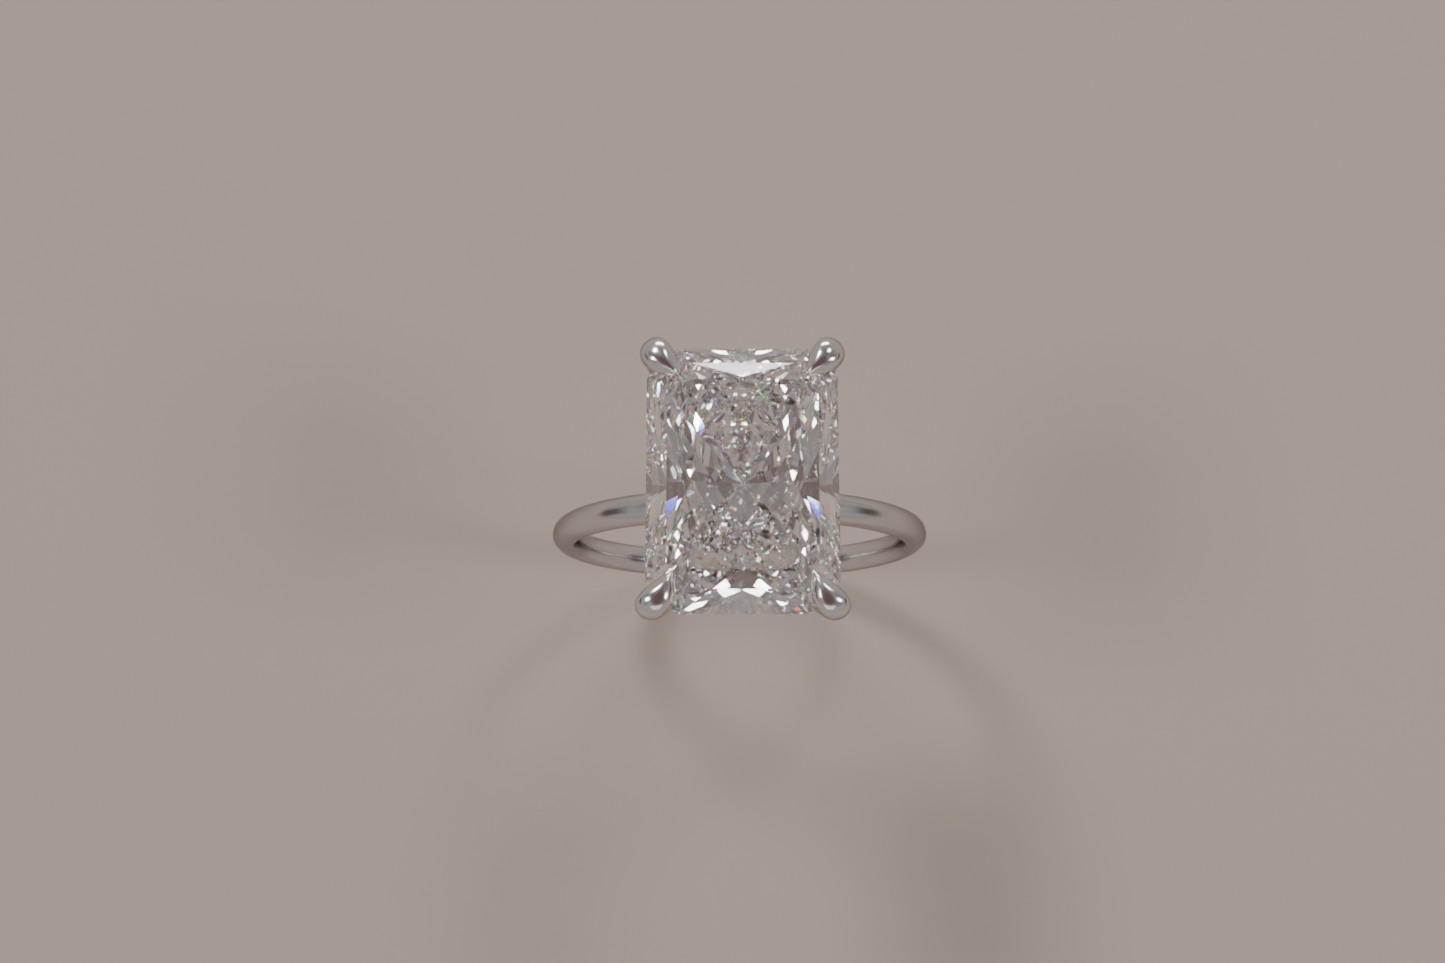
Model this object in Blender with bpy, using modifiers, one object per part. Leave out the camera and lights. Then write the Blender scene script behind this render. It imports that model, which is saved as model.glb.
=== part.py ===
"""Four-claw solitaire ring with a cut-cornered rectangular brilliant in a basket head.

The finger axis is Y, the stone faces +Z, and the origin is the centre of the finger hole.
The stone's long side lies along the finger axis. Every size is in metres.
"""
import math

import bmesh
import bpy
from mathutils import Vector

MM = 0.001

# Finger hole and band
BORE_DIAMETER = 16.5 * MM
BAND_WIDTH = 1.5 * MM
BAND_THICKNESS = 1.4 * MM
BAND_INSIDE_DOME = 0.41 * MM
BAND_SIDE_FLAT = 0.36 * MM
BAND_TURN_STEPS = 72
BAND_ARC_STEPS = 5

# Stone outline seen from above, and its girdle
STONE_WIDTH = 8.4 * MM
STONE_LENGTH = 11.75 * MM
CORNER_CUT = 1.33 * MM
GIRDLE_THICKNESS = 0.28 * MM

# Crown: an outer bevel all round, then four side mains, four corner mains and eight stars
BEVEL_WIDTH = 0.92 * MM
BEVEL_CORNER_WIDTH = 1.12 * MM
BEVEL_HEIGHT = 0.99 * MM
MAIN_WIDTH = 0.70 * MM
CORNER_MAIN_WIDTH = 0.45 * MM
MAIN_HEIGHT = 0.33 * MM

# Pavilion: the culet's depth under the girdle, and the broken profiles from the middle of a
# side and of an end down to it. Each break is (share of the depth, share of the half width or
# half length that is left there). The cut corner has one break, this wide.
PAVILION_DEPTH = 4.25 * MM
SIDE_BREAKS = ((0.282, 0.807), (0.565, 0.531), (0.776, 0.285))
END_BREAKS = ((0.235, 0.847), (0.518, 0.576), (0.753, 0.314))
CORNER_BREAK_DEPTH = 0.136
CORNER_BREAK_WIDTH = 0.60 * MM
CULET_CLEARANCE = 0.25 * MM

# Claws, drawn in an upright plane through the middle of the girdle's cut corner. The head is a
# row of sections, each (back outward, back up, inside outward, inside up, half breadth), measured
# from that middle. The tips of the front and back claws turn in along bearings of their own.
CLAW_HEAD = (
    (0.96 * MM, -0.62 * MM, -0.24 * MM, -0.42 * MM, 0.58 * MM),
    (1.14 * MM, 0.05 * MM, -0.25 * MM, -0.05 * MM, 0.65 * MM),
    (1.16 * MM, 0.62 * MM, -0.24 * MM, 0.16 * MM, 0.71 * MM),
    (0.86 * MM, 1.16 * MM, -0.28 * MM, 0.26 * MM, 0.72 * MM),
    (0.34 * MM, 1.42 * MM, -0.38 * MM, 0.36 * MM, 0.66 * MM),
    (-0.20 * MM, 1.46 * MM, -0.52 * MM, 0.50 * MM, 0.53 * MM),
    (-0.62 * MM, 1.40 * MM, -0.74 * MM, 0.72 * MM, 0.36 * MM),
    (-0.92 * MM, 1.28 * MM, -0.95 * MM, 0.98 * MM, 0.20 * MM),
    (-1.02 * MM, 1.20 * MM, -1.03 * MM, 1.10 * MM, 0.07 * MM),
)
FRONT_TIP_BEARING = 62.0
BACK_TIP_BEARING = 46.0
CLAW_BACK_BEARING = 50.0
CLAW_LEG_RADIUS = 0.52 * MM
CLAW_FOOT_RADIUS = 0.46 * MM
CLAW_FOOT_OVERHANG = 0.28 * MM
CLAW_TOE_LENGTH = 0.2 * MM
CLAW_TOE_RADIUS = 0.26 * MM
CLAW_SEAT_DEPTH = 0.30 * MM
UPPER_SEAT_LEAN = -26.0
LOWER_SEAT_LEAN = -42.0
CLAW_SIDES = 16
CLAW_RING_SPACING = 0.24 * MM

# Basket rails, and the seam left between two soldered pieces
SEAM = 0.02 * MM
UPPER_RAIL_RADIUS = 0.38 * MM
UPPER_RAIL_DROP = 2.1 * MM
UPPER_RAIL_CLEARANCE = 0.08 * MM
LOWER_RAIL_RADIUS = 0.42 * MM
LOWER_RAIL_HALF_X = 2.0 * MM
LOWER_RAIL_HALF_Y = 2.7 * MM
LOWER_RAIL_SINK = 0.2 * MM
RAIL_CORNER_RADIUS = 0.9 * MM
RAIL_CORNER_STEPS = 7
RAIL_SIDE_STEPS = 3
RAIL_BEVEL_RESOLUTION = 2
RAIL_JOINT_BEARING = 55.0

# The stone is worked out in millimetres: points this close are one corner, and faces this
# nearly level with each other are one facet
WELD = 0.003
FACET_FLATNESS = math.radians(0.15)

# Where pieces meet, worked out from the sizes above
BORE_RADIUS = BORE_DIAMETER / 2
BAND_OUTER_RADIUS = BORE_RADIUS + BAND_THICKNESS
GIRDLE_Z = BAND_OUTER_RADIUS + CULET_CLEARANCE + PAVILION_DEPTH + GIRDLE_THICKNESS / 2
HALF_WIDTH = STONE_WIDTH / 2
HALF_LENGTH = STONE_LENGTH / 2
CROWN_HEIGHT = BEVEL_HEIGHT + MAIN_HEIGHT


def band_top(x):
    """Height of the band's outer surface over the point x on its centre line."""
    return math.sqrt(BAND_OUTER_RADIUS ** 2 - x ** 2)


def pavilion_reach(start, breaks, depth):
    """How far the broken profile from start still stands out, this deep under the girdle."""
    points = ((0.0, 1.0), *breaks, (1.0, 0.0))
    share = depth / PAVILION_DEPTH
    for (above, wide), (below, narrow) in zip(points, points[1:]):
        if share <= below:
            return start * (wide + (narrow - wide) * (share - above) / (below - above))
    return 0.0


LOWER_RAIL_Z = band_top(LOWER_RAIL_HALF_X) + LOWER_RAIL_RADIUS - LOWER_RAIL_SINK
UPPER_RAIL_Z = GIRDLE_Z - UPPER_RAIL_DROP
UPPER_RAIL_TOP_DEPTH = UPPER_RAIL_DROP - UPPER_RAIL_RADIUS - GIRDLE_THICKNESS / 2
UPPER_RAIL_GAP = UPPER_RAIL_RADIUS + UPPER_RAIL_CLEARANCE
UPPER_RAIL_HALF_X = pavilion_reach(HALF_WIDTH, SIDE_BREAKS, UPPER_RAIL_TOP_DEPTH) + UPPER_RAIL_GAP
UPPER_RAIL_HALF_Y = pavilion_reach(HALF_LENGTH, END_BREAKS, UPPER_RAIL_TOP_DEPTH) + UPPER_RAIL_GAP


def clear_scene():
    for old in list(bpy.data.objects):
        bpy.data.objects.remove(old, do_unlink=True)


def new_collection(name):
    made = bpy.data.collections.new(name)
    bpy.context.scene.collection.children.link(made)
    return made


def make_material(name, colour, roughness, metallic, transmission=0.0):
    material = bpy.data.materials.new(name)
    material.use_nodes = True
    shader = material.node_tree.nodes["Principled BSDF"]
    shader.inputs["Base Color"].default_value = (*colour, 1.0)
    shader.inputs["Roughness"].default_value = roughness
    shader.inputs["Metallic"].default_value = metallic
    shader.inputs["Transmission Weight"].default_value = transmission
    material.diffuse_color = (*colour, 1.0)
    return material


def object_from_bmesh(name, bm, collection, material):
    bmesh.ops.recalc_face_normals(bm, faces=bm.faces)
    mesh = bpy.data.meshes.new(name)
    bm.to_mesh(mesh)
    bm.free()
    made = bpy.data.objects.new(name, mesh)
    collection.objects.link(made)
    if material:
        mesh.materials.append(material)
    return made


def shade_round(obj, angle=math.radians(40)):
    obj.data.shade_smooth()
    obj.data.set_sharp_from_angle(angle=angle)


def as_cutter(obj):
    obj.hide_render = True
    obj.display_type = "WIRE"
    return obj


def cut(obj, cutter):
    boolean = obj.modifiers.new("cut_" + cutter.name, "BOOLEAN")
    boolean.operation = "DIFFERENCE"
    boolean.solver = "EXACT"
    boolean.object = cutter


# Stone ------------------------------------------------------------------------------------

def outline_corners():
    """The girdle outline's two corners in the quarter +X +Y."""
    return (Vector((HALF_WIDTH, HALF_LENGTH - CORNER_CUT)),
            Vector((HALF_WIDTH - CORNER_CUT, HALF_LENGTH)))


def outline_reach(bearing):
    """Distance from the centre to the outline's tangent line that faces the bearing."""
    facing = Vector((math.cos(bearing), math.sin(bearing)))
    return max(corner.dot(facing) for corner in outline_corners())


def facet(points, grow):
    """The cutting plane through three points, facing away from the centre, moved out by grow."""
    first, second, third = (Vector(point) for point in points)
    normal = (second - first).cross(third - first).normalized()
    if normal.dot(first) < 0:
        normal.negate()
    return first + normal * grow, normal


def crown_facets(grow):
    bottom = GIRDLE_THICKNESS / 2
    shoulder = bottom + BEVEL_HEIGHT
    table = bottom + CROWN_HEIGHT
    side = Vector((HALF_WIDTH - BEVEL_WIDTH, 0, shoulder))
    end = Vector((0, HALF_LENGTH - BEVEL_WIDTH, shoulder))
    corner_reach = outline_reach(math.radians(45)) - BEVEL_CORNER_WIDTH
    side_knee = Vector((side.x, corner_reach * math.sqrt(2) - side.x, shoulder))
    end_knee = Vector((corner_reach * math.sqrt(2) - end.y, end.y, shoulder))
    side_tip = Vector((side.x - MAIN_WIDTH, 0, table))
    end_tip = Vector((0, end.y - MAIN_WIDTH, table))
    corner_tip = (side_knee + end_knee) / 2
    corner_tip -= Vector((1, 1, 0)).normalized() * CORNER_MAIN_WIDTH
    corner_tip.z = table
    low_side, low_end = (Vector((*corner, bottom)) for corner in outline_corners())
    along_x = Vector((1, 0, 0))
    along_y = Vector((0, 1, 0))
    triples = (
        (Vector((HALF_WIDTH, 0, bottom)), side, side_knee),
        (Vector((0, HALF_LENGTH, bottom)), end, end_knee),
        (low_side, low_end, side_knee),
        (side_knee, side_tip, side_knee - along_y * side_knee.y),
        (end_knee, end_tip, end_knee - along_x * end_knee.x),
        (side_knee, end_knee, corner_tip),
        (side_knee, side_tip, corner_tip),
        (end_knee, end_tip, corner_tip),
        (side_tip, end_tip, corner_tip),
    )
    return [facet(triple, grow) for triple in triples]


def girdle_facets(grow):
    up = Vector((0, 0, MM))
    side, end = (Vector((*corner, 0)) for corner in outline_corners())
    triples = (
        (side, side + up, side - Vector((0, MM, 0))),
        (end, end + up, end - Vector((MM, 0, 0))),
        (side, end, side + up),
    )
    return [facet(triple, grow) for triple in triples]


def pavilion_facets(grow):
    """Long slim facets that fan out from each girdle corner to the profile of its side or end."""
    top = -GIRDLE_THICKNESS / 2
    culet = Vector((0, 0, top - PAVILION_DEPTH))
    side_corner, end_corner = (Vector((*corner, top)) for corner in outline_corners())
    triples = []
    fans = ((side_corner, Vector((HALF_WIDTH, 0, top)), SIDE_BREAKS),
            (end_corner, Vector((0, HALF_LENGTH, top)), END_BREAKS))
    for corner, middle, breaks in fans:
        point = middle
        for depth, reach in breaks:
            lower = Vector((middle.x * reach, middle.y * reach, top - PAVILION_DEPTH * depth))
            triples.append((corner, point, lower))
            point = lower
        triples.append((corner, point, culet))
    knee = (side_corner + end_corner) / 2
    knee -= Vector((1, 1, 0)).normalized() * CORNER_BREAK_WIDTH
    knee.z -= PAVILION_DEPTH * CORNER_BREAK_DEPTH
    triples.append((side_corner, end_corner, knee))
    triples.append((side_corner, knee, culet))
    triples.append((end_corner, knee, culet))
    return [facet(triple, grow) for triple in triples]


def polar_points(points):
    """For each flat face of the hull of points, its normal over its distance from the centre."""
    bm = bmesh.new()
    for point in points:
        bm.verts.new(point)
    bmesh.ops.remove_doubles(bm, verts=bm.verts, dist=1e-5)
    bmesh.ops.convex_hull(bm, input=bm.verts)
    bm.normal_update()
    found = [face.normal / face.normal.dot(face.verts[0].co) for face in bm.faces]
    bm.free()
    return found


def cut_stone(name, collection, material, grow=0.0):
    """The solid inside every facet plane of the four quarters. grow moves each facet outwards."""
    poles = []
    for point, normal in crown_facets(grow) + girdle_facets(grow) + pavilion_facets(grow):
        for flip_x in (1, -1):
            for flip_y in (1, -1):
                facing = Vector((normal.x * flip_x, normal.y * flip_y, normal.z))
                poles.append(facing * (MM / point.dot(normal)))
    bm = bmesh.new()
    for corner in polar_points(poles):
        bm.verts.new(corner)
    bmesh.ops.remove_doubles(bm, verts=bm.verts, dist=WELD)
    bmesh.ops.convex_hull(bm, input=bm.verts)
    bmesh.ops.dissolve_limit(bm, angle_limit=FACET_FLATNESS, verts=bm.verts, edges=bm.edges)
    bmesh.ops.scale(bm, vec=(MM, MM, MM), verts=bm.verts)
    stone = object_from_bmesh(name, bm, collection, material)
    stone.location = (0, 0, GIRDLE_Z)
    return stone


# Basket rails -----------------------------------------------------------------------------

def rail_corner_centre(half_x, half_y):
    return Vector((half_x - RAIL_CORNER_RADIUS, half_y - RAIL_CORNER_RADIUS, 0))


def rail_path(half_x, half_y):
    """Points round a rectangle with round corners, anticlockwise from the right side's foot."""
    centre = rail_corner_centre(half_x, half_y)
    corners = []
    for sign_x, sign_y, turn in ((1, 1, 0), (-1, 1, 1), (-1, -1, 2), (1, -1, 3)):
        for step in range(RAIL_CORNER_STEPS + 1):
            angle = math.radians(90) * (turn + step / RAIL_CORNER_STEPS)
            arm = Vector((math.cos(angle), math.sin(angle), 0)) * RAIL_CORNER_RADIUS
            corners.append(Vector((centre.x * sign_x, centre.y * sign_y, 0)) + arm)
    path = []
    for index, point in enumerate(corners):
        path.append(point)
        if index % (RAIL_CORNER_STEPS + 1) == RAIL_CORNER_STEPS:
            following = corners[(index + 1) % len(corners)]
            for step in range(1, RAIL_SIDE_STEPS):
                path.append(point.lerp(following, step / RAIL_SIDE_STEPS))
    return path


def make_rail(name, collection, material, half_x, half_y, height, radius):
    curve = bpy.data.curves.new(name, "CURVE")
    curve.dimensions = "3D"
    curve.bevel_depth = radius
    curve.bevel_resolution = RAIL_BEVEL_RESOLUTION
    spline = curve.splines.new("POLY")
    path = rail_path(half_x, half_y)
    spline.points.add(len(path) - 1)
    for point, place in zip(spline.points, path):
        point.co = (*place, 1)
    spline.use_cyclic_u = True
    spline.use_smooth = True
    rail = bpy.data.objects.new(name, curve)
    rail.location = (0, 0, height)
    collection.objects.link(rail)
    if material:
        curve.materials.append(material)
    return rail


def curve_to_mesh(rail, collection):
    """Swap a curve object for a mesh object of the same name, place and shape."""
    bpy.context.view_layer.update()
    shape = rail.evaluated_get(bpy.context.evaluated_depsgraph_get())
    mesh = bpy.data.meshes.new_from_object(shape)
    place = rail.matrix_world.copy()
    name = rail.name
    bpy.data.objects.remove(rail, do_unlink=True)
    made = bpy.data.objects.new(name, mesh)
    made.matrix_world = place
    collection.objects.link(made)
    return made


def upper_rail(name, collection, material, grow=0.0):
    return make_rail(name, collection, material, UPPER_RAIL_HALF_X, UPPER_RAIL_HALF_Y,
                     UPPER_RAIL_Z, UPPER_RAIL_RADIUS + grow)


def lower_rail(name, collection, material, grow=0.0):
    return make_rail(name, collection, material, LOWER_RAIL_HALF_X, LOWER_RAIL_HALF_Y,
                     LOWER_RAIL_Z, LOWER_RAIL_RADIUS + grow)


# Claws ------------------------------------------------------------------------------------

def towards(bearing):
    return Vector((math.cos(math.radians(bearing)), math.sin(math.radians(bearing)), 0))


def leg_station(half_x, half_y, height, rail_radius, leg_radius, lean):
    """The leg's section where it sits against the corner of a rail."""
    outward = towards(RAIL_JOINT_BEARING)
    centre = rail_corner_centre(half_x, half_y) + outward * RAIL_CORNER_RADIUS
    centre += outward * (rail_radius + leg_radius - CLAW_SEAT_DEPTH)
    centre.z = height
    depth = outward * math.cos(math.radians(lean)) + Vector((0, 0, math.sin(math.radians(lean))))
    breadth = towards(RAIL_JOINT_BEARING + 90)
    return centre, depth * leg_radius, breadth * leg_radius


def claw_stations(tip_bearing):
    """Sections from foot to tip, each a centre, a half depth and a half breadth vector."""
    corner = sum(outline_corners(), Vector((0, 0))) / 2
    corner = Vector((*corner, GIRDLE_Z))
    head = []
    for back_out, back_up, inside_out, inside_up, half_breadth in CLAW_HEAD:
        edge = []
        for out, up in ((back_out, back_up), (inside_out, inside_up)):
            facing = towards(CLAW_BACK_BEARING if out > 0 else tip_bearing)
            edge.append(corner + facing * out + Vector((0, 0, up)))
        depth = (edge[0] - edge[1]) / 2
        head.append(((edge[0] + edge[1]) / 2, depth, towards(tip_bearing + 90) * half_breadth))
    upper = leg_station(UPPER_RAIL_HALF_X, UPPER_RAIL_HALF_Y, UPPER_RAIL_Z,
                        UPPER_RAIL_RADIUS, CLAW_LEG_RADIUS, UPPER_SEAT_LEAN)
    lower = leg_station(LOWER_RAIL_HALF_X, LOWER_RAIL_HALF_Y, LOWER_RAIL_Z,
                        LOWER_RAIL_RADIUS, CLAW_FOOT_RADIUS, LOWER_SEAT_LEAN)
    down = (lower[0] - upper[0]).normalized()
    foot = (lower[0] + down * CLAW_FOOT_OVERHANG, lower[1], lower[2])
    taper = CLAW_TOE_RADIUS / CLAW_FOOT_RADIUS
    toe = (foot[0] + down * CLAW_TOE_LENGTH, foot[1] * taper, foot[2] * taper)
    return [toe, foot, lower, upper] + head


def smooth_sections(stations):
    """Sections every CLAW_RING_SPACING or so along a smooth run through the stations."""
    distance = [0.0]
    for before, after in zip(stations, stations[1:]):
        distance.append(distance[-1] + (after[0] - before[0]).length)
    last = len(stations) - 1

    def slope(index, part):
        low, high = max(index - 1, 0), min(index + 1, last)
        return (stations[high][part] - stations[low][part]) / (distance[high] - distance[low])

    sections = []
    for index in range(last):
        span = distance[index + 1] - distance[index]
        steps = max(1, round(span / CLAW_RING_SPACING))
        for step in range(steps):
            share = step / steps
            rise = share * share * (3 - 2 * share)
            start_pull = share * (1 - share) ** 2 * span
            end_pull = share * share * (share - 1) * span
            sections.append([stations[index][part] * (1 - rise) + stations[index + 1][part] * rise
                             + slope(index, part) * start_pull + slope(index + 1, part) * end_pull
                             for part in range(3)])
    sections.append(stations[last])
    return sections


def loft_claw(name, collection, material, sign_x, sign_y):
    sections = smooth_sections(claw_stations(FRONT_TIP_BEARING if sign_y < 0 else BACK_TIP_BEARING))
    bm = bmesh.new()
    rings = []
    for centre, depth, breadth in sections:
        ring = []
        for side in range(CLAW_SIDES):
            angle = 2 * math.pi * side / CLAW_SIDES
            point = centre + depth * math.cos(angle) + breadth * math.sin(angle)
            ring.append(bm.verts.new((point.x * sign_x, point.y * sign_y, point.z)))
        rings.append(ring)
    for lower, upper in zip(rings, rings[1:]):
        for side in range(CLAW_SIDES):
            after = (side + 1) % CLAW_SIDES
            bm.faces.new((lower[side], lower[after], upper[after], upper[side]))
    bm.faces.new(rings[0])
    bm.faces.new(rings[-1])
    claw = object_from_bmesh(name, bm, collection, material)
    shade_round(claw)
    return claw


# Band -------------------------------------------------------------------------------------

def band_section():
    """Half-round outside and gently domed inside, joined by narrow flat sides."""
    half = BAND_WIDTH / 2
    side_bottom = BORE_RADIUS + BAND_INSIDE_DOME
    side_top = side_bottom + BAND_SIDE_FLAT

    def arc(rise, base, direction):
        radius = (half ** 2 + rise ** 2) / (2 * rise)
        spread = math.asin(half / radius)
        points = []
        for step in range(-BAND_ARC_STEPS, BAND_ARC_STEPS + 1):
            angle = spread * step / BAND_ARC_STEPS
            lift = radius * math.cos(angle) - radius + rise
            points.append((base + direction * lift, -radius * math.sin(angle)))
        return points

    outside = arc(BAND_OUTER_RADIUS - side_top, side_top, 1)
    inside = arc(BAND_INSIDE_DOME, side_bottom, -1)
    return outside + inside[::-1]


def make_band(name, collection, material):
    bm = bmesh.new()
    loop = [bm.verts.new((radius, 0, height)) for radius, height in band_section()]
    for start, end in zip(loop, loop[1:] + loop[:1]):
        bm.edges.new((start, end))
    mesh = bpy.data.meshes.new(name)
    bm.to_mesh(mesh)
    bm.free()
    mesh.materials.append(material)
    band = bpy.data.objects.new(name, mesh)
    band.rotation_euler = (math.radians(-90), 0, 0)
    collection.objects.link(band)
    turn = band.modifiers.new("turn", "SCREW")
    turn.axis = "Z"
    turn.steps = BAND_TURN_STEPS
    turn.render_steps = BAND_TURN_STEPS
    turn.use_merge_vertices = True
    turn.merge_threshold = 0.001 * MM
    turn.use_smooth_shade = True
    return band


# Whole ring -------------------------------------------------------------------------------

def build():
    clear_scene()
    ring = new_collection("engagement_ring")
    cutters = new_collection("cutters")
    metal = make_material("polished_white_gold", (0.83, 0.82, 0.80), 0.08, 1.0)
    clear = make_material("colourless_stone", (0.97, 0.98, 1.0), 0.0, 0.0, transmission=1.0)

    cut_stone("centre_stone", ring, clear)
    upper_rail("upper_gallery_rail", ring, metal)
    lower_rail("lower_gallery_rail", ring, metal)
    shank = make_band("shank", ring, metal)

    stone_seat = as_cutter(cut_stone("stone_seat", cutters, None, SEAM))
    upper_seat = as_cutter(curve_to_mesh(upper_rail("upper_seat", cutters, None, SEAM), cutters))
    lower_seat = as_cutter(curve_to_mesh(lower_rail("lower_seat", cutters, None, SEAM), cutters))
    cut(shank, lower_seat)
    for end, sign_y in (("front", -1), ("back", 1)):
        for side, sign_x in (("left", -1), ("right", 1)):
            claw = loft_claw(f"claw_{end}_{side}", ring, metal, sign_x, sign_y)
            for seat in (stone_seat, upper_seat, lower_seat):
                cut(claw, seat)


build()
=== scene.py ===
"""Looks of a solitaire engagement ring: polished white gold round a long, radiant-cut clear stone.

Metres, +Z up. The finger hole's axis is Y and the stone sits on top, its long side along Y.
"""

import math

import bmesh
import bpy
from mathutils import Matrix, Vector


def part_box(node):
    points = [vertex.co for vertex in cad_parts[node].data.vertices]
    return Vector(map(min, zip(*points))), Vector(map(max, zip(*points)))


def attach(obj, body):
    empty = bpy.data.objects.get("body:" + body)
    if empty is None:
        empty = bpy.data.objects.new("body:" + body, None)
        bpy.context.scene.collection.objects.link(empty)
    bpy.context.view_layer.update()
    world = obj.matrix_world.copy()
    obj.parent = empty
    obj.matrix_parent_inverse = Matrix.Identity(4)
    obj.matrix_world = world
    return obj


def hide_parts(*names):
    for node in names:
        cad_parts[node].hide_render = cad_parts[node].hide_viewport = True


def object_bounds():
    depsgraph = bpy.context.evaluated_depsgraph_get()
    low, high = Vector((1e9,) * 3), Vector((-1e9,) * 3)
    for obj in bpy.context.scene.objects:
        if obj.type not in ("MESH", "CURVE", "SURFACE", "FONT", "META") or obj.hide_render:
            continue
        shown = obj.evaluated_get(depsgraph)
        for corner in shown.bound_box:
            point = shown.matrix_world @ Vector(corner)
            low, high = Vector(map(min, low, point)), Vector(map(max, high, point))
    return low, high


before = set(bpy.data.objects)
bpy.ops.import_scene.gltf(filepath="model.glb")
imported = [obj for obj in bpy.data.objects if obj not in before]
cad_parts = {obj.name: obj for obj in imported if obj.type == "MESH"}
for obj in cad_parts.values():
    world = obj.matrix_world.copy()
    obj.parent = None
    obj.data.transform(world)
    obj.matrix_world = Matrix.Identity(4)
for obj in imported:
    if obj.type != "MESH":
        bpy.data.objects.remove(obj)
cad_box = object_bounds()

MM = 0.001
ROUND_OFF_LEVELS = 2

# Band: steps round the finger hole, and how its half-round section runs from inside to outside
BAND_STEPS = 120
BAND_INSIDE_DOME = 0.41 * MM
BAND_SIDE_FLAT = 0.36 * MM
BAND_ARC_POINTS = 7

# Basket rails: round wire bent to a rectangle with round corners
RAIL_SIDES = 10
RAIL_CORNER_RADIUS = 0.9 * MM
RAIL_CORNER_STEPS = 6
RAIL_SIDE_STEPS = 4

# Claw heads: sections from the leg to the tip, each (back outward, back up, inside outward,
# inside up, half breadth, crest). All but the crest are millimetres from the middle of the
# stone's cut corner at the girdle. A crest above 0 draws the back into a ridge, one below 0
# flattens it. Outward runs along CLAW_BACK_BEARING and inward along TIP_BEARING, in degrees
# from +X.
CLAW_HEAD = (
    (0.96, -0.62, -0.24, -0.42, 0.58, 0.0),
    (1.14, 0.05, -0.25, -0.05, 0.65, 0.0),
    (1.16, 0.62, -0.24, 0.16, 0.71, -0.15),
    (0.86, 1.16, -0.28, 0.26, 0.72, -0.4),
    (0.34, 1.42, -0.38, 0.36, 0.67, -0.4),
    (-0.20, 1.46, -0.52, 0.50, 0.54, 0.0),
    (-0.62, 1.40, -0.74, 0.72, 0.37, 0.4),
    (-0.92, 1.28, -0.95, 0.98, 0.21, 0.4),
    (-1.02, 1.20, -1.03, 1.10, 0.07, 0.0),
)
CLAW_BACK_BEARING = 50.0
TIP_BEARING = {"front": 62.0, "back": 46.0}
RIDGE_SPREAD = 0.8
CLAW_SHARP_EDGE = math.radians(45)
CLAW_SIDES = 16
CLAW_RING_SPACING = 0.22 * MM

# Claw legs: round wire that sits against the corners of both rails and runs inwards on its way
# down. The bearing and the leans of its sections at the rails are in degrees.
CLAW_LEG_RADIUS = 0.52 * MM
CLAW_FOOT_RADIUS = 0.46 * MM
CLAW_FOOT_OVERHANG = 0.28 * MM
CLAW_TOE_LENGTH = 0.2 * MM
CLAW_TOE_RADIUS = 0.26 * MM
RAIL_SEAT_DEPTH = 0.30 * MM
RAIL_SEAT_BEARING = 55.0
UPPER_SEAT_LEAN = -26.0
LOWER_SEAT_LEAN = -42.0

# The stone's seat in each claw is cut by a copy of the stone this much larger
STONE_SEAT_SCALE = 1.004

# What the frame says about the stone. Its girdle is where it is widest, to within a hair.
HAIR = 0.01 * MM
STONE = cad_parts["centre_stone"]
HALF_WIDTH, HALF_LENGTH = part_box("centre_stone")[1].xy
girdle_points = [v.co for v in STONE.data.vertices if v.co.x > HALF_WIDTH - HAIR]
GIRDLE_Z = sum(point.z for point in girdle_points) / len(girdle_points)
CUT_CORNER = HALF_LENGTH - max(point.y for point in girdle_points)
GIRDLE_MIDDLE = Vector((0, 0, GIRDLE_Z))


# Shapes -----------------------------------------------------------------------------------

def new_piece(name, bm, material):
    """A smoothly shaded object made from the bmesh."""
    bmesh.ops.recalc_face_normals(bm, faces=bm.faces)
    mesh = bpy.data.meshes.new(name)
    bm.to_mesh(mesh)
    bm.free()
    mesh.materials.append(material)
    piece = bpy.data.objects.new(name, mesh)
    bpy.context.scene.collection.objects.link(piece)
    mesh.shade_smooth()
    return piece


def round_off(piece):
    smooth = piece.modifiers.new("round_off", "SUBSURF")
    smooth.levels = ROUND_OFF_LEVELS
    smooth.render_levels = ROUND_OFF_LEVELS


def stand_for(piece, node):
    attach(piece, "root")
    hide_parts(node)


def skin_rings(bm, rings, closed):
    """Faces between each ring of vertices and the next, and from the last to the first if closed."""
    following = rings[1:] + (rings[:1] if closed else [])
    for ring, after in zip(rings, following):
        sides = len(ring)
        for side in range(sides):
            beside = (side + 1) % sides
            bm.faces.new((ring[side], ring[beside], after[beside], after[side]))


def towards(bearing):
    """The level direction at a bearing in degrees from +X."""
    return Vector((math.cos(math.radians(bearing)), math.sin(math.radians(bearing)), 0))


# Band -------------------------------------------------------------------------------------

def dome(half_width, rise, base, direction):
    """Points (radius, side) of an arc over the band's width. It bulges in the direction, 1 or -1."""
    radius = (half_width ** 2 + rise ** 2) / (2 * rise)
    spread = math.asin(half_width / radius)
    points = []
    for step in range(BAND_ARC_POINTS):
        angle = spread * (2 * step / (BAND_ARC_POINTS - 1) - 1)
        lift = radius * math.cos(angle) - radius + rise
        points.append((base + direction * lift, -radius * math.sin(angle)))
    return points


def band_section(inner, outer, half_width):
    """Points (radius, side) of the band's section: domed outside, gently domed inside."""
    side_bottom = inner + BAND_INSIDE_DOME
    side_top = side_bottom + BAND_SIDE_FLAT
    outside = dome(half_width, outer - side_top, side_top, 1)
    inside = dome(half_width, BAND_INSIDE_DOME, side_bottom, -1)
    return outside + inside[::-1]


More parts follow.
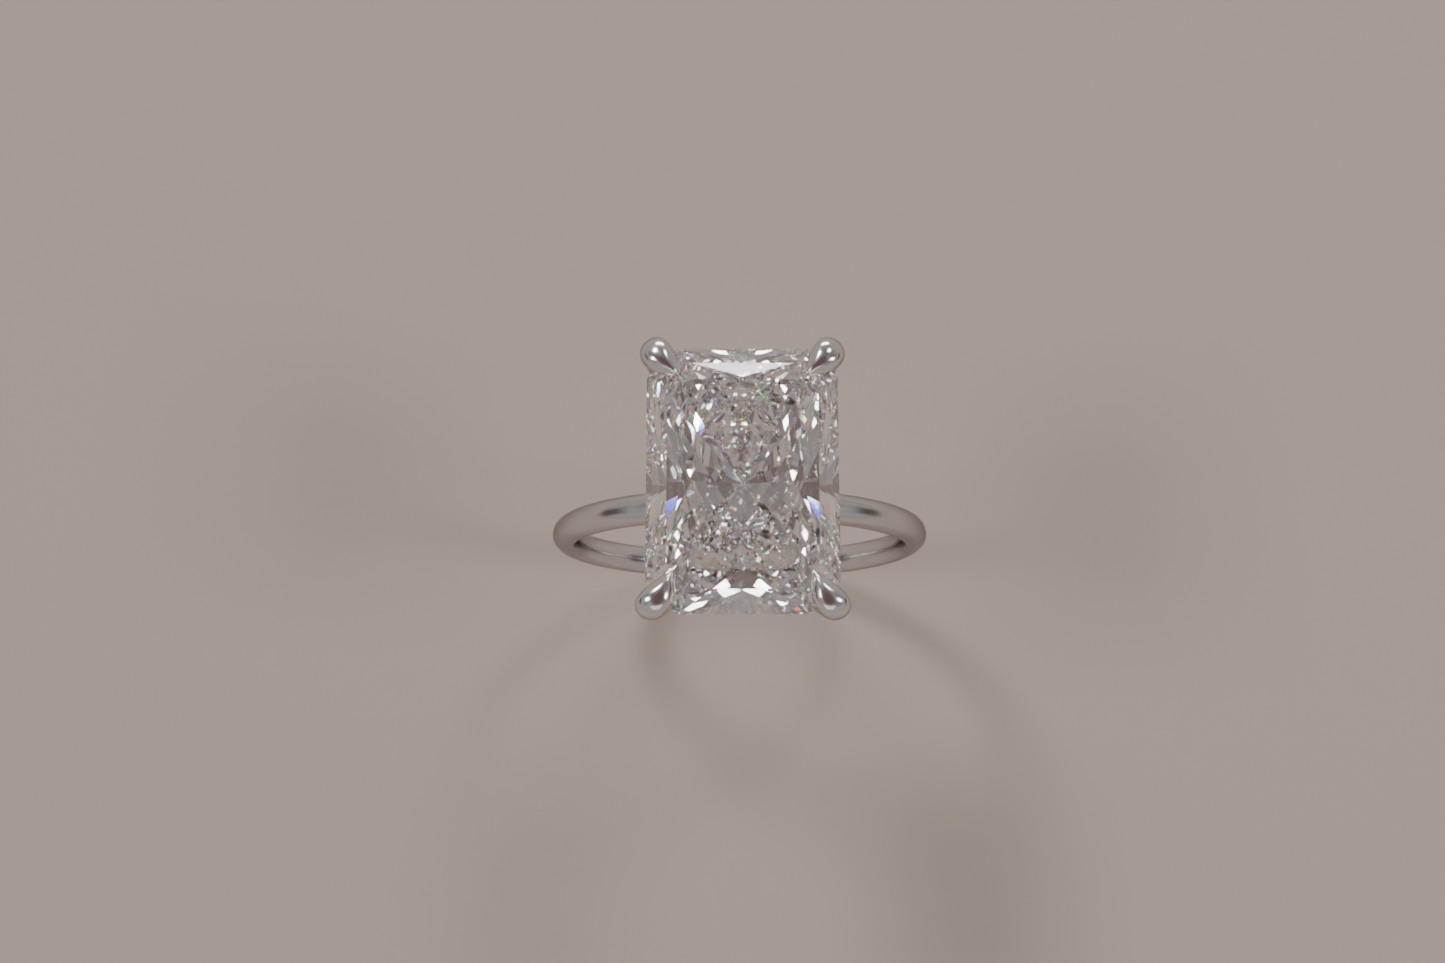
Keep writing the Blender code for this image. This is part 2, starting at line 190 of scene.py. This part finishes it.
def make_band(material):
    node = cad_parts["shank"]
    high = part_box("shank")[1]
    inner = min(Vector((v.co.x, v.co.z)).length for v in node.data.vertices)
    section = band_section(inner, high.x, high.y)
    bm = bmesh.new()
    rings = []
    for step in range(BAND_STEPS):
        turn = 2 * math.pi * step / BAND_STEPS
        rings.append([bm.verts.new((radius * math.cos(turn), side, radius * math.sin(turn)))
                      for radius, side in section])
    skin_rings(bm, rings, closed=True)
    band = new_piece("band", bm, material)
    round_off(band)
    stand_for(band, "shank")


# Rails ------------------------------------------------------------------------------------

def rail_sizes(node):
    """(half x, half y, height, wire radius) of a rail's centre line."""
    low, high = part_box(node)
    radius = (high.z - low.z) / 2
    return high.x - radius, high.y - radius, (high.z + low.z) / 2, radius


def rail_path(half_x, half_y):
    """Centre line points with the outward direction at each, anticlockwise."""
    corners = []
    for sign_x, sign_y, turn in ((1, 1, 0), (-1, 1, 1), (-1, -1, 2), (1, -1, 3)):
        middle = Vector((sign_x * (half_x - RAIL_CORNER_RADIUS),
                         sign_y * (half_y - RAIL_CORNER_RADIUS), 0))
        for step in range(RAIL_CORNER_STEPS + 1):
            outward = towards(90 * (turn + step / RAIL_CORNER_STEPS))
            corners.append((middle + outward * RAIL_CORNER_RADIUS, outward))
    path = []
    for index, (point, outward) in enumerate(corners):
        path.append((point, outward))
        if index % (RAIL_CORNER_STEPS + 1) == RAIL_CORNER_STEPS:
            following = corners[(index + 1) % len(corners)][0]
            for step in range(1, RAIL_SIDE_STEPS):
                path.append((point.lerp(following, step / RAIL_SIDE_STEPS), outward))
    return path


def make_rail(name, node, material):
    half_x, half_y, height, radius = rail_sizes(node)
    bm = bmesh.new()
    rings = []
    for point, outward in rail_path(half_x, half_y):
        ring = []
        for side in range(RAIL_SIDES):
            angle = 2 * math.pi * side / RAIL_SIDES
            place = point + outward * (radius * math.cos(angle))
            ring.append(bm.verts.new((place.x, place.y, height + radius * math.sin(angle))))
        rings.append(ring)
    skin_rings(bm, rings, closed=True)
    rail = new_piece(name, bm, material)
    round_off(rail)
    stand_for(rail, node)


# Claws ------------------------------------------------------------------------------------
# A section is (centre, half depth, half breadth, crest).

def leg_section(node, leg_radius, lean):
    """The leg where it sits against the corner of a rail."""
    half_x, half_y, height, rail_radius = rail_sizes(node)
    outward = towards(RAIL_SEAT_BEARING)
    reach = RAIL_CORNER_RADIUS + rail_radius + leg_radius - RAIL_SEAT_DEPTH
    centre = Vector((half_x - RAIL_CORNER_RADIUS, half_y - RAIL_CORNER_RADIUS, height))
    centre += outward * reach
    depth = outward * math.cos(math.radians(lean)) + Vector((0, 0, math.sin(math.radians(lean))))
    breadth = towards(RAIL_SEAT_BEARING + 90)
    return centre, depth * leg_radius, breadth * leg_radius, 0.0


def head_section(tip_bearing, back, inside, half_breadth, crest):
    """The head between its back and its inside edge, each (outward, up) in millimetres."""
    corner = Vector((HALF_WIDTH - CUT_CORNER / 2, HALF_LENGTH - CUT_CORNER / 2, GIRDLE_Z))
    edges = []
    for out, up in (back, inside):
        facing = towards(CLAW_BACK_BEARING if out > 0 else tip_bearing)
        edges.append(corner + facing * (out * MM) + Vector((0, 0, up * MM)))
    breadth = towards(tip_bearing + 90) * (half_breadth * MM)
    return (edges[0] + edges[1]) / 2, (edges[0] - edges[1]) / 2, breadth, crest


def claw_sections(tip_bearing):
    """The claw's given sections, from its toe to its tip."""
    head = [head_section(tip_bearing, given[0:2], given[2:4], *given[4:]) for given in CLAW_HEAD]
    upper = leg_section("upper_gallery_rail", CLAW_LEG_RADIUS, UPPER_SEAT_LEAN)
    lower = leg_section("lower_gallery_rail", CLAW_FOOT_RADIUS, LOWER_SEAT_LEAN)
    down = (lower[0] - upper[0]).normalized()
    foot = (lower[0] + down * CLAW_FOOT_OVERHANG, *lower[1:])
    taper = CLAW_TOE_RADIUS / CLAW_FOOT_RADIUS
    toe = (foot[0] + down * CLAW_TOE_LENGTH, foot[1] * taper, foot[2] * taper, 0.0)
    return [toe, foot, lower, upper] + head


def smooth_sections(given):
    """Closely spaced sections along a smooth run through the given ones."""
    distance = [0.0]
    for before, after in zip(given, given[1:]):
        distance.append(distance[-1] + (after[0] - before[0]).length)
    last = len(given) - 1

    def slope(index, part):
        low, high = max(index - 1, 0), min(index + 1, last)
        return (given[high][part] - given[low][part]) / (distance[high] - distance[low])

    sections = []
    for index in range(last):
        span = distance[index + 1] - distance[index]
        steps = max(1, round(span / CLAW_RING_SPACING))
        for step in range(steps):
            share = step / steps
            rise = share * share * (3 - 2 * share)
            start_pull = share * (1 - share) ** 2 * span
            end_pull = share * share * (share - 1) * span
            sections.append([given[index][part] * (1 - rise) + given[index + 1][part] * rise
                             + slope(index, part) * start_pull + slope(index + 1, part) * end_pull
                             for part in range(4)])
    sections.append(given[last])
    return sections


def claw_ring(bm, section, sign_x, sign_y):
    """The vertices round one section, on the side and end of the ring that the signs say."""
    centre, depth, breadth, crest = section
    ring = []
    for side in range(CLAW_SIDES):
        angle = 2 * math.pi * side / CLAW_SIDES
        lift = math.cos(angle)
        narrow = 1.0
        if lift > 0:
            narrow -= max(crest, 0.0) * lift ** RIDGE_SPREAD
            lift **= 1 + min(crest, 0.0)
        point = centre + depth * lift + breadth * (math.sin(angle) * narrow)
        ring.append(bm.verts.new((point.x * sign_x, point.y * sign_y, point.z)))
    return ring


def cut_stone_seat(claw, stone_seat):
    """Cuts the seat into the rounded claw, and keeps the result as its mesh."""
    cut = claw.modifiers.new("stone_seat", "BOOLEAN")
    cut.operation = "DIFFERENCE"
    cut.solver = "EXACT"
    cut.object = stone_seat
    bpy.context.view_layer.update()
    shaped = claw.evaluated_get(bpy.context.evaluated_depsgraph_get())
    mesh = bpy.data.meshes.new_from_object(shaped)
    claw.modifiers.clear()
    claw.data = mesh
    mesh.set_sharp_from_angle(angle=CLAW_SHARP_EDGE)


def make_claw(end, side, material, stone_seat):
    sign_x = 1 if side == "right" else -1
    sign_y = 1 if end == "back" else -1
    bm = bmesh.new()
    rings = [claw_ring(bm, section, sign_x, sign_y)
             for section in smooth_sections(claw_sections(TIP_BEARING[end]))]
    skin_rings(bm, rings, closed=False)
    bm.faces.new(rings[0])
    bm.faces.new(rings[-1])
    claw = new_piece(f"{end}_{side}_claw", bm, material)
    round_off(claw)
    cut_stone_seat(claw, stone_seat)
    stand_for(claw, f"claw_{end}_{side}")


def make_stone_seat():
    """A copy of the stone, a hair larger, that cuts the seat into each claw."""
    seat = bpy.data.objects.new("stone_seat", STONE.data.copy())
    bpy.context.scene.collection.objects.link(seat)
    seat.data.transform(STONE.matrix_world)
    for vertex in seat.data.vertices:
        vertex.co = GIRDLE_MIDDLE + (vertex.co - GIRDLE_MIDDLE) * STONE_SEAT_SCALE
    return seat


# Finishes ---------------------------------------------------------------------------------

# Two finishes of white gold: its colour, its roughness where brightest and dullest, how deep its
# polish lines are, and how uneven the surface under them is. The band's metal colour is darker
# than the claws' as painted shade, standing in for the shadow under the stone; its other numbers
# are its worn finish.
POLISHED = {"metal": (0.86, 0.855, 0.87), "brightest": 0.12, "dullest": 0.22,
            "relief": 0.002 * MM, "unevenness": 8.0}
WORN_AND_SHADED = {"metal": (0.76, 0.755, 0.77), "brightest": 0.12, "dullest": 0.24,
        "relief": 0.003 * MM, "unevenness": 2.0}
RIM_TINT = (0.50, 0.49, 0.50, 1)
RELIEF_STRENGTH = 0.4

# Smudges: how much of the metal's brightness they leave, and where on their noise they lie
SMUDGE_SHADE = 0.9
SMUDGE_NOISE = {"Scale": 520.0, "Detail": 4.0}
SMUDGE_EDGES = (0.45, 0.75)

# Polish lines: how their noise is turned and drawn out, and how much they dull the metal. The
# filed noise is the unevenness under them.
LINE_TURN = (0.3, 0.5, 0.7)
LINE_STRETCH = (9000.0, 900.0, 2500.0)
LINE_NOISE = {"Scale": 3.0, "Detail": 6.0, "Roughness": 0.6}
LINE_WEAR = 0.35
FILED_NOISE = {"Scale": 1300.0, "Detail": 1.0}

# Stone: how strongly it bends light, how far red and blue part from green and what share of the
# light does so, and how soft its reflections are
DIAMOND_IOR = 2.417
RED_SPREAD = 0.018
BLUE_SPREAD = 1.2 * RED_SPREAD
FIRE_SHARE = 0.35
REFLECTION_SOFTNESS = 0.015
WHITE = (1, 1, 1)

# Film that handling leaves on the stone: the share of light it scatters, at least and at most
FILM_COLOUR = (0.80, 0.78, 0.77)
FILM_LEAST = 0.02
FILM_MOST = 0.08
FILM_NOISE = {"Scale": 420.0, "Detail": 5.0, "Distortion": 0.6}
FILM_EDGES = (0.35, 0.70)


def feed(tree, node, values):
    """Sets or links the node's inputs, given by name or number."""
    for name, value in values.items():
        if isinstance(value, bpy.types.NodeSocket):
            tree.links.new(value, node.inputs[name])
        else:
            node.inputs[name].default_value = value


def add_node(tree, kind, inputs=None, **settings):
    made = tree.nodes.new(kind)
    for name, value in settings.items():
        setattr(made, name, value)
    feed(tree, made, inputs or {})
    return made


def calculate(tree, operation, *values):
    """The result of one operation on numbers or output sockets."""
    return add_node(tree, "ShaderNodeMath", dict(enumerate(values)), operation=operation).outputs[0]


def noise(tree, place, look):
    """Uneven values from 0 to 1 over a place. look says how fine and how rough they are."""
    return add_node(tree, "ShaderNodeTexNoise", {"Vector": place, **look}).outputs["Fac"]


def ranged(tree, value, edges, least=0.0, most=1.0, turn="LINEAR"):
    """The least where the value is at the first edge, the most where it is at the second."""
    return add_node(tree, "ShaderNodeMapRange", {
        "Value": value, "From Min": edges[0], "From Max": edges[1],
        "To Min": least, "To Max": most}, interpolation_type=turn).outputs["Result"]


def layered(tree, base, over, mask):
    """The base colour, with the one over it where the mask is 1."""
    return add_node(tree, "ShaderNodeMix", {
        "Factor": mask, "A": base, "B": over}, data_type="RGBA").outputs["Result"]


def mixed(tree, share, first, second):
    """The first shader, with a share of the second in its place."""
    return add_node(tree, "ShaderNodeMixShader", {0: share, 1: first, 2: second}).outputs[0]


def added(tree, first, second):
    return add_node(tree, "ShaderNodeAddShader", {0: first, 1: second}).outputs[0]


def new_material(name):
    material = bpy.data.materials.new(name)
    material.use_nodes = True
    return material


def polish_marks_group():
    """Fine rouge-polish lines and soft smudges over a bright metal surface."""
    group = bpy.data.node_groups.new("polish_marks", "ShaderNodeTree")
    for name, way, kind in (("Metal", "INPUT", "Color"), ("Smudged Metal", "INPUT", "Color"),
                            ("Brightest", "INPUT", "Float"), ("Dullest", "INPUT", "Float"),
                            ("Unevenness", "INPUT", "Float"), ("Colour", "OUTPUT", "Color"),
                            ("Roughness", "OUTPUT", "Float"), ("Height", "OUTPUT", "Float")):
        group.interface.new_socket(name, in_out=way, socket_type=f"NodeSocket{kind}")
    given = add_node(group, "NodeGroupInput").outputs
    place = add_node(group, "ShaderNodeTexCoord").outputs["Object"]

    smudges = ranged(group, noise(group, place, SMUDGE_NOISE), SMUDGE_EDGES)
    drawn_out = add_node(group, "ShaderNodeMapping", {
        "Vector": place, "Rotation": LINE_TURN, "Scale": LINE_STRETCH})
    lines = noise(group, drawn_out.outputs["Vector"], LINE_NOISE)
    wear = calculate(group, "MULTIPLY_ADD", lines, LINE_WEAR, smudges)
    filed = noise(group, place, FILED_NOISE)
    add_node(group, "NodeGroupOutput", {
        "Colour": layered(group, given["Metal"], given["Smudged Metal"], smudges),
        "Roughness": ranged(group, wear, (0.0, 1.0), given["Brightest"], given["Dullest"]),
        "Height": calculate(group, "MULTIPLY_ADD", filed, given["Unevenness"], lines)})
    return group


def white_gold(name, marks, metal, brightest, dullest, relief, unevenness):
    """Rhodium-bright white gold, a little darker where it is seen edge on."""
    material = new_material(name)
    tree = material.node_tree
    polish = add_node(tree, "ShaderNodeGroup", {
        "Metal": (*metal, 1),
        "Smudged Metal": (*[SMUDGE_SHADE * share for share in metal], 1),
        "Brightest": brightest,
        "Dullest": dullest,
        "Unevenness": unevenness}, node_tree=marks)
    bump = add_node(tree, "ShaderNodeBump", {
        "Height": polish.outputs["Height"], "Strength": RELIEF_STRENGTH, "Distance": relief})
    feed(tree, tree.nodes["Principled BSDF"], {
        "Metallic": 1.0,
        "Specular Tint": RIM_TINT,
        "Base Color": polish.outputs["Colour"],
        "Roughness": polish.outputs["Roughness"],
        "Normal": bump.outputs["Normal"]})
    return material


def bent(tree, colour, ior):
    """Light of one colour bent through a facet."""
    return add_node(tree, "ShaderNodeBsdfRefraction", {
        "Color": (*colour, 1), "Roughness": 0.0, "IOR": ior}).outputs[0]


def film_share(tree, inside):
    """How strong the film is: uneven on the outside of a facet, nothing on its inside."""
    place = add_node(tree, "ShaderNodeTexCoord").outputs["Object"]
    wiped = ranged(tree, noise(tree, place, FILM_NOISE), FILM_EDGES, FILM_LEAST, FILM_MOST)
    return calculate(tree, "MULTIPLY", wiped, calculate(tree, "SUBTRACT", 1.0, inside))


def clear_stone(name):
    """Bends light as diamond does, a little differently for red, green and blue on the way out."""
    material = new_material(name)
    tree = material.node_tree
    tree.nodes.clear()
    inside = add_node(tree, "ShaderNodeNewGeometry").outputs["Backfacing"]
    red = bent(tree, (1, 0, 0), DIAMOND_IOR - RED_SPREAD)
    green = bent(tree, (0, 1, 0), DIAMOND_IOR)
    blue = bent(tree, (0, 0, 1), DIAMOND_IOR + BLUE_SPREAD)
    fire = added(tree, added(tree, red, green), blue)
    leaving = mixed(tree, FIRE_SHARE, bent(tree, WHITE, DIAMOND_IOR), fire)
    through = mixed(tree, inside, bent(tree, WHITE, DIAMOND_IOR), leaving)
    mirror = add_node(tree, "ShaderNodeBsdfGlossy", {
        "Color": (*WHITE, 1), "Roughness": REFLECTION_SOFTNESS})
    mirror_share = add_node(tree, "ShaderNodeFresnel", {"IOR": DIAMOND_IOR})
    facet = mixed(tree, mirror_share.outputs[0], through, mirror.outputs[0])
    film = add_node(tree, "ShaderNodeBsdfDiffuse", {"Color": (*FILM_COLOUR, 1)})
    touched = mixed(tree, film_share(tree, inside), facet, film.outputs[0])
    add_node(tree, "ShaderNodeOutputMaterial", {"Surface": touched})
    return material


def dress_stone():
    """Gives the stone its material and flat facets."""
    STONE.data.materials.clear()
    STONE.data.materials.append(clear_stone("clear_stone"))
    for facet in STONE.data.polygons:
        facet.use_smooth = False
        facet.material_index = 0


# Studio -----------------------------------------------------------------------------------

FLOOR_SIZE = 6.0
FLOOR_COLOUR = (0.47, 0.405, 0.362)
FLOOR_ROUGHNESS = 0.75
FLOOR_SHINE = 0.2
BACKDROP_COLOUR = (0.235, 0.205, 0.185)

# Tent of pale cloth: the noise of its folds, and the shade of the cloth at three of its values
TENT_STRENGTH = 0.5
TENT_FOLD_NOISE = {"Scale": 2.1, "Detail": 1.0}
TENT_FOLD_SHIFT = (3.7, 1.3, 0.4)
TENT_SHADES = (
    (0.36, (0.27, 0.245, 0.24)),
    (0.66, (0.68, 0.635, 0.62)),
    (1.00, (1, 1, 1)),
)

# Its paler skirt and the dark gaps low down at both sides. Heights and places front to back are
# those of a direction of length 1, first where the colour starts and then where it is full.
SKIRT_COLOUR = (0.74, 0.70, 0.69)
SKIRT_HEIGHTS = (math.cos(math.radians(52)), math.cos(math.radians(72)))
GAP_COLOUR = (0.18, 0.16, 0.16)
GAP_PLACES = (0.46, 0.12)
GAP_HEIGHTS = (0.38, 0.18)

# The dark opening above the ring: how far it leans to the front, and how far from its middle it
# starts and is full, as cosines
OPENING_COLOUR = (0.26, 0.165, 0.155)
OPENING_TILT = math.radians(12)
OPENING_EDGES = (math.cos(math.radians(34)), math.cos(math.radians(20)))

KEY_DIRECTION = Vector((-0.25, 0.35, 0.44))
KEY_STRENGTH = 1.0
KEY_SPREAD = math.radians(13)
KEY_COLOUR = (1, 0.93, 0.88)

# Soft boxes: name, place, width, height, power, colour and the point that each one faces
SOFT_BOXES = (
    ("back_right", (0.24, 0.38, 0.48), 0.09, 0.12, 0.5, (1, 0.95, 0.92), GIRDLE_MIDDLE),
    ("window_left", (-0.34, -0.05, 0.38), 0.13, 0.11, 0.5, (1, 0.95, 0.93), GIRDLE_MIDDLE),
    ("window_right", (0.36, -0.08, 0.36), 0.11, 0.13, 0.5, (1, 0.94, 0.92), GIRDLE_MIDDLE),
    ("low_back", (0.0, 0.50, 0.20), 0.30, 0.10, 0.9, (1, 0.93, 0.90), GIRDLE_MIDDLE),
    ("front_wash", (0.0, -0.40, 0.24), 0.32, 0.32, 0.24, (1, 0.93, 0.90), (0.0, -0.40, 0.0)),
)

# Camera: leaning to the front, and slid sideways and up from where it would face the stone
VIEW_TILT = math.radians(12.02)
VIEW_DISTANCE = 74.04 * MM
VIEW_SLIDE = (-0.8726 * MM, -0.0697 * MM)
VIEW_LENS = 42.34
VIEW_SENSOR_WIDTH = 36.0
VIEW_NEAREST = 1 * MM

# Light has to bounce this often for the stone to glitter
MOST_BOUNCES = 24
MOST_STONE_BOUNCES = 20


def make_floor():
    bpy.ops.mesh.primitive_plane_add(size=FLOOR_SIZE, location=(0, 0, cad_box[0].z))
    floor = bpy.context.object
    floor.name = "floor"
    material = new_material("pale_floor")
    tree = material.node_tree
    feed(tree, tree.nodes["Principled BSDF"], {
        "Base Color": (*FLOOR_COLOUR, 1),
        "Roughness": FLOOR_ROUGHNESS,
        "Specular IOR Level": FLOOR_SHINE})
    floor.data.materials.append(material)


def hang_lamp(lamp, place, facing):
    """The lamp's object at a place, shining in the direction."""
    stand = bpy.data.objects.new(lamp.name, lamp)
    stand.location = place
    stand.rotation_euler = facing.to_track_quat("-Z", "Y").to_euler()
    bpy.context.scene.collection.objects.link(stand)
    return stand


def soft_box(name, place, width, height, power, colour, aim_at):
    """A rectangular lamp that the camera doesn't see."""
    lamp = bpy.data.lights.new(name, "AREA")
    lamp.shape = "RECTANGLE"
    lamp.size = width
    lamp.size_y = height
    lamp.energy = power
    lamp.color = colour
    hang_lamp(lamp, place, Vector(aim_at) - Vector(place)).visible_camera = False


def key_light():
    """A distant soft lamp, so that the floor is evenly lit as far as it goes."""
    lamp = bpy.data.lights.new("key", "SUN")
    lamp.energy = KEY_STRENGTH
    lamp.angle = KEY_SPREAD
    lamp.color = KEY_COLOUR
    hang_lamp(lamp, (0, 0, 0), -KEY_DIRECTION)


def tent_cloth(tree, direction):
    """The tent's shaded folds."""
    shift = add_node(tree, "ShaderNodeMapping", {
        "Vector": direction, "Location": TENT_FOLD_SHIFT})
    shades = add_node(tree, "ShaderNodeValToRGB", {
        "Fac": noise(tree, shift.outputs["Vector"], TENT_FOLD_NOISE)})
    stops = shades.color_ramp.elements
    stops.new(0.5)
    for stop, (position, colour) in zip(stops, TENT_SHADES):
        stop.position = position
        stop.color = (*colour, 1)
    return shades.outputs["Color"]


def make_room():
    """A pale tent round the ring with a dark opening above it; plain to the camera itself."""
    world = bpy.data.worlds.new("studio")
    bpy.context.scene.world = world
    world.use_nodes = True
    tree = world.node_tree
    direction = add_node(tree, "ShaderNodeTexCoord").outputs["Generated"]
    axes = add_node(tree, "ShaderNodeSeparateXYZ", {0: direction}).outputs
    to_opening = (0, -math.sin(OPENING_TILT), math.cos(OPENING_TILT))
    facing = add_node(tree, "ShaderNodeVectorMath", {0: direction, 1: to_opening},
                      operation="DOT_PRODUCT").outputs["Value"]

    def soft(value, edges):
        return ranged(tree, value, edges, turn="SMOOTHSTEP")

    skirt = soft(axes["Z"], SKIRT_HEIGHTS)
    gap = calculate(tree, "MULTIPLY", soft(calculate(tree, "ABSOLUTE", axes["Y"]), GAP_PLACES),
                    soft(axes["Z"], GAP_HEIGHTS))
    opening = soft(facing, OPENING_EDGES)
    cloth = layered(tree, tent_cloth(tree, direction), (*SKIRT_COLOUR, 1), skirt)
    cloth = layered(tree, cloth, (*GAP_COLOUR, 1), gap)
    cloth = layered(tree, cloth, (*OPENING_COLOUR, 1), opening)

    tent = tree.nodes["Background"]
    feed(tree, tent, {"Color": cloth, "Strength": TENT_STRENGTH})
    plain = add_node(tree, "ShaderNodeBackground", {"Color": (*BACKDROP_COLOUR, 1)})
    seen = add_node(tree, "ShaderNodeLightPath").outputs["Is Camera Ray"]
    feed(tree, tree.nodes["World Output"], {
        "Surface": mixed(tree, seen, tent.outputs[0], plain.outputs[0])})


def make_camera():
    camera = bpy.data.cameras.new("camera")
    camera.lens = VIEW_LENS
    camera.sensor_width = VIEW_SENSOR_WIDTH
    camera.clip_start = VIEW_NEAREST
    stand = bpy.data.objects.new("camera", camera)
    back = Vector((0, -math.sin(VIEW_TILT), math.cos(VIEW_TILT)))
    up = Vector((0, math.cos(VIEW_TILT), math.sin(VIEW_TILT)))
    stand.location = GIRDLE_MIDDLE + back * VIEW_DISTANCE + up * VIEW_SLIDE[1]
    stand.location.x += VIEW_SLIDE[0]
    stand.rotation_euler = (VIEW_TILT, 0, 0)
    bpy.context.scene.collection.objects.link(stand)
    bpy.context.scene.camera = stand


def light_bounces():
    cycles = bpy.context.scene.cycles
    cycles.max_bounces = MOST_BOUNCES
    cycles.glossy_bounces = MOST_STONE_BOUNCES
    cycles.transmission_bounces = MOST_STONE_BOUNCES
    cycles.sample_clamp_indirect = 0.0
    cycles.blur_glossy = 0.0


# Ring and studio --------------------------------------------------------------------------

def make_ring():
    marks = polish_marks_group()
    polished = white_gold("polished_white_gold", marks, **POLISHED)
    # The band's copy of the white gold is darker as painted shade, besides its worn finish.
    worn_and_shaded = white_gold("worn_and_shaded_white_gold", marks, **WORN_AND_SHADED)
    make_band(worn_and_shaded)
    make_rail("upper_rail", "upper_gallery_rail", polished)
    make_rail("lower_rail", "lower_gallery_rail", polished)
    seat = make_stone_seat()
    for end in ("front", "back"):
        for side in ("left", "right"):
            make_claw(end, side, polished, seat)
    bpy.data.objects.remove(seat, do_unlink=True)
    dress_stone()


def make_studio():
    make_floor()
    make_room()
    key_light()
    for box in SOFT_BOXES:
        soft_box(*box)
    make_camera()
    light_bounces()


make_ring()
make_studio()

bpy.context.view_layer.update()
